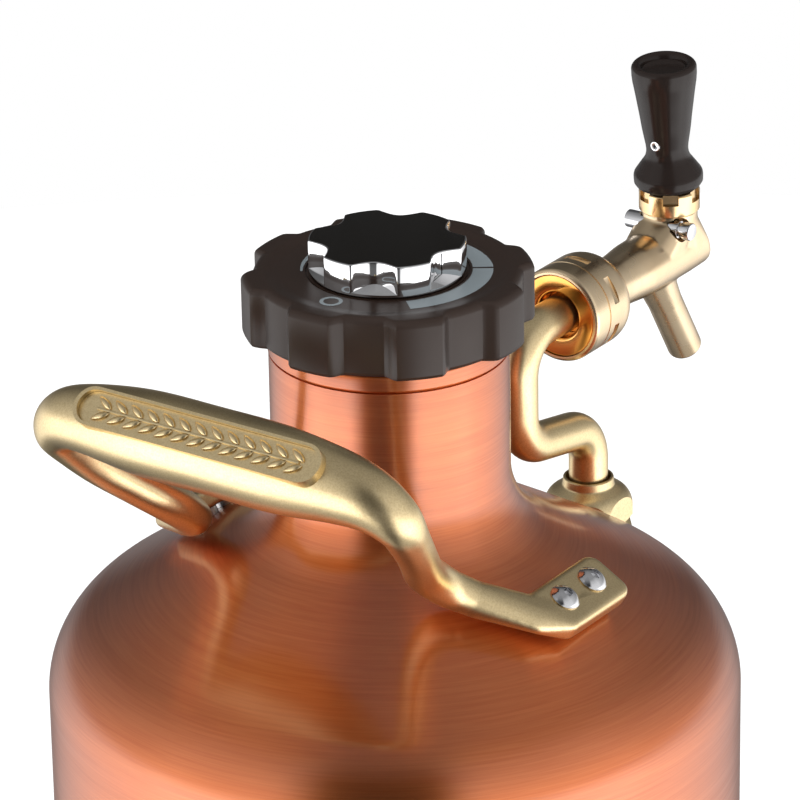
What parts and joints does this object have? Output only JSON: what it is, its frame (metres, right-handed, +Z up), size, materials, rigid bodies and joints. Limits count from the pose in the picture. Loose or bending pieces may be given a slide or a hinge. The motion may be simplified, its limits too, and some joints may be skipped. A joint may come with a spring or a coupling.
{
  "type": "pressurised beer growler",
  "caption": "Double-wall copper-coloured growler with a carrying handle, a screw cap holding a gas regulator, and a small beer tap on a bent brass tube.",
  "frame": {"origin": "centre of the underside of the base, on the table", "axes": "+Z up along the vessel, the tap points along -Y, the carrying handle is on the +Y side"},
  "size_m": [0.16, 0.2103, 0.3477],
  "materials": {
    "rubber_foot": "matte rubber",
    "copper": "copper-coloured coating over steel, brushed in fine rings",
    "steel": "plain stainless steel",
    "satin_brass": "satin blasted brass",
    "polished_brass": "polished brass",
    "bright_steel": "polished stainless steel",
    "clear_glass": "clear glass",
    "seal_rubber": "moulded rubber",
    "white_enamel": "white enamelled disc",
    "black_paint": "black paint",
    "matte_black": "satin moulded plastic, warm black",
    "satin_black": "smooth black plastic",
    "gloss_black": "glossy black plastic",
    "chrome": "bright chrome",
    "scale_grey": "printed blue-grey marks",
    "alloy": "machined alloy",
    "spring_steel": "spring wire"
  },
  "bodies": {
    "vessel": {"base_pad": "rubber_foot", "base_cup": "copper", "outer_shell": "copper", "fitting_pocket": "copper", "inner_vessel": "steel", "vacuum_plug": "steel", "neck_ring": "copper", "handle": "satin_brass", "handle_ornament": "satin_brass", "handle_bosses": "steel", "handle_screws": "bright_steel", "upper_fitting": "satin_brass", "shoulder_nut": "satin_brass", "lower_fitting": "satin_brass", "fitting_bosses": "steel", "fitting_screws": "bright_steel", "sight_glass": "clear_glass", "sight_seals": "seal_rubber", "sight_guard": "satin_brass", "gauge_case": "polished_brass", "gauge_tube": "polished_brass", "gauge_dial": "white_enamel", "gauge_lens": "clear_glass", "gauge_bezel": "polished_brass", "beer_tube": "satin_brass", "tube_collars": "polished_brass", "tube_seals": "seal_rubber", "coupling_nut": "satin_brass", "coupling_ring": "polished_brass", "tap_body": "satin_brass", "tap_bonnet": "satin_brass", "lever_seal": "seal_rubber"},
    "needle": {"gauge_needle": "black_paint"},
    "lever": {"tap_lever": "steel", "tap_handle": "satin_black", "handle_ring": "bright_steel"},
    "plunger": {"plunger": "steel", "plunger_seal": "seal_rubber"},
    "lock_pin": {"lock_pin": "bright_steel"},
    "cap_carrier": {"cap_gasket": "seal_rubber"},
    "cap": {"cap_shell": "matte_black", "scale_marks": "scale_grey", "cap_core": "alloy", "core_screws": "steel", "valve_seat": "seal_rubber", "pierce_pin": "steel", "pin_seal": "seal_rubber", "regulator_spring": "spring_steel", "poppet_spring": "spring_steel", "relief_spring": "spring_steel"},
    "dial": {"dial_skirt": "chrome", "dial_top": "gloss_black", "dial_spindle": "steel"},
    "adjuster": {"adjust_nut": "polished_brass"},
    "diaphragm": {"diaphragm": "seal_rubber"},
    "poppet": {"poppet": "steel"},
    "relief": {"relief_plug": "polished_brass"},
    "sleeve": {"cartridge_sleeve": "alloy", "gas_cartridge": "steel"}
  },
  "joints": [
    {"name": "cap_lift", "type": "slide", "parent": "vessel", "child": "cap_carrier", "axis": [0, 0, 1], "range_m": [0, 0.15]},
    {"name": "cap_turn", "type": "hinge", "parent": "cap_carrier", "child": "cap", "pos_m": [0, 0, 0.31507], "axis": [0, 0, 1], "range_deg": [0, 900]},
    {"name": "dial_turn", "type": "hinge", "parent": "cap", "child": "dial", "pos_m": [0, 0, 0.33407], "axis": [0, 0, -1], "range_deg": [0, 258]},
    {"name": "adjuster_slide", "type": "slide", "parent": "cap", "child": "adjuster", "axis": [0, 0, -1], "range_m": [0, 0.0012], "deforming": ["regulator_spring"]},
    {"name": "diaphragm_slide", "type": "slide", "parent": "cap", "child": "diaphragm", "axis": [0, 0, -1], "range_m": [0, 0.0008], "stiffness_N_per_m": 100},
    {"name": "poppet_slide", "type": "slide", "parent": "cap", "child": "poppet", "axis": [0, 0, -1], "range_m": [0, 0.0008], "deforming": ["poppet_spring"]},
    {"name": "relief_slide", "type": "slide", "parent": "cap", "child": "relief", "axis": [0, 0, 1], "range_m": [0, 0.0015], "stiffness_N_per_m": 100, "deforming": ["relief_spring"]},
    {"name": "sleeve_drop", "type": "slide", "parent": "cap", "child": "sleeve", "axis": [0, 0, -1], "range_m": [0, 0.03]},
    {"name": "tap_lever", "type": "hinge", "parent": "vessel", "child": "lever", "pos_m": [0, -0.119, 0.31167], "axis": [1, 0, 0], "range_deg": [0, 25]},
    {"name": "plunger_slide", "type": "slide", "parent": "vessel", "child": "plunger", "axis": [0, 1, 0], "range_m": [0, 0.006]},
    {"name": "lock_pin_slide", "type": "slide", "parent": "vessel", "child": "lock_pin", "axis": [1, 0, 0], "range_m": [-0.002, 0.002]},
    {"name": "needle_turn", "type": "hinge", "parent": "vessel", "child": "needle", "pos_m": [0, -0.1032, 0.034], "axis": [0, 1, 0], "range_deg": [0, 270], "stiffness_Nm_per_rad": 0.00002}
  ],
  "couplings": [
    {"joint": "adjuster_slide", "follows": "dial_turn", "m_per_rad": 0.00026},
    {"joint": "poppet_slide", "follows": "diaphragm_slide", "ratio": 1},
    {"joint": "plunger_slide", "follows": "tap_lever", "m_per_rad": 0.0132}
  ]
}
